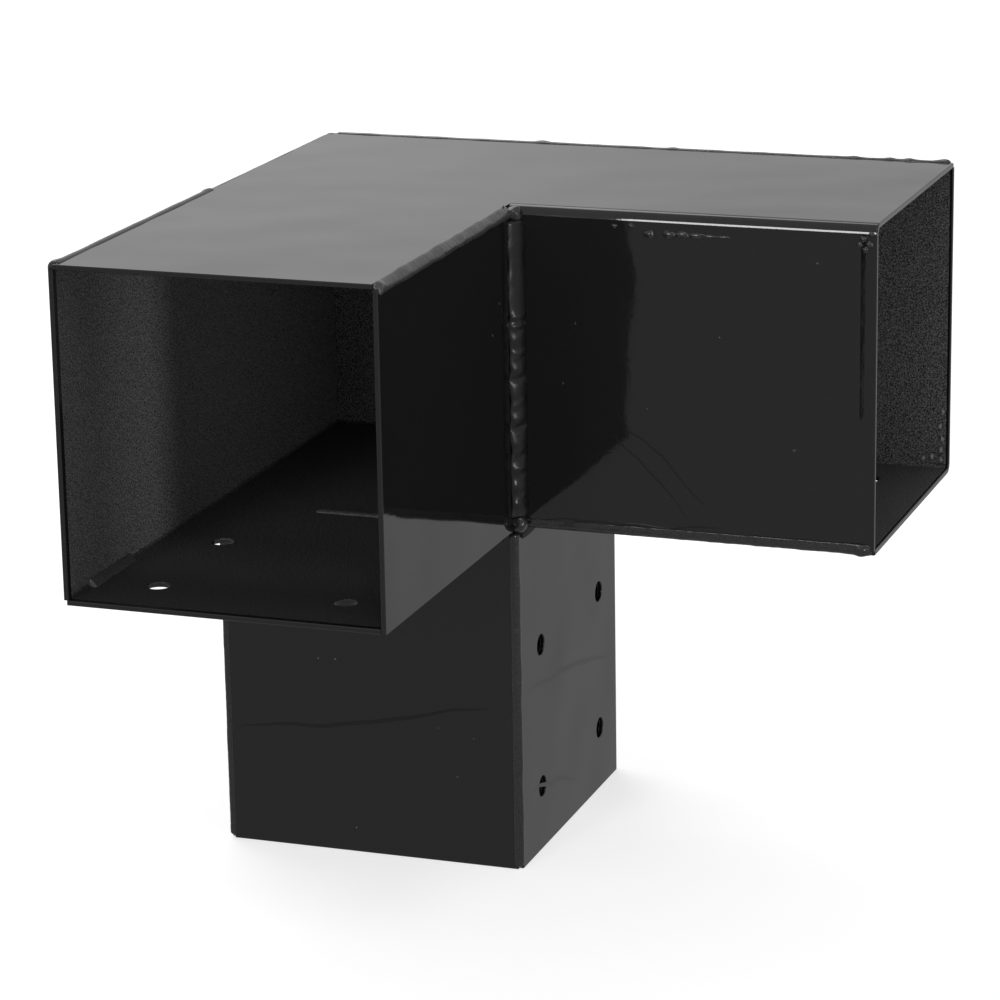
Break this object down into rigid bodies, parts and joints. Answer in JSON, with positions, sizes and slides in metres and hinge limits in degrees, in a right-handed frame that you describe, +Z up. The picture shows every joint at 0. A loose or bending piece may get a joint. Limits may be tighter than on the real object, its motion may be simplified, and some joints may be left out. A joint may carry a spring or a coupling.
{
  "type": "three way corner connector",
  "caption": "Folded and welded steel corner bracket in gloss black: two horizontal square sockets at a right angle and one square socket below, open at the ends, with screw holes.",
  "frame": {"origin": "centre of the leg's open end, on the plane of its rim", "axes": "+Z up, along the leg and away from its open end; the left arm leaves the corner block along -Y and the right arm along +X"},
  "size_m": [0.2028, 0.2028, 0.2038],
  "materials": {
    "sheet_coat": "gloss black powder coat on steel sheet",
    "weld_coat": "gloss black powder coat over weld bead"
  },
  "bodies": {
    "root": {"upper_sheet": "sheet_coat", "lower_sheet": "sheet_coat", "outer_wall": "sheet_coat", "inner_wall": "sheet_coat", "leg_channel": "sheet_coat", "leg_front_plate": "sheet_coat", "back_top_weld": "weld_coat", "block_left_weld": "weld_coat", "block_top_weld": "weld_coat", "floor_weld": "weld_coat", "inner_corner_weld": "weld_coat", "inner_wall_stitch": "weld_coat", "left_arm_outer_weld": "weld_coat", "left_arm_top_weld": "weld_coat", "leg_back_weld": "weld_coat", "leg_front_fillet": "weld_coat", "leg_left_weld": "weld_coat", "leg_near_weld": "weld_coat", "leg_right_fillet": "weld_coat", "lower_knot": "weld_coat", "outer_corner_weld": "weld_coat", "outer_lower_knot": "weld_coat", "outer_upper_knot": "weld_coat", "outer_wall_stitch": "weld_coat", "right_arm_bottom_weld": "weld_coat", "upper_knot": "weld_coat"}
  },
  "joints": []
}
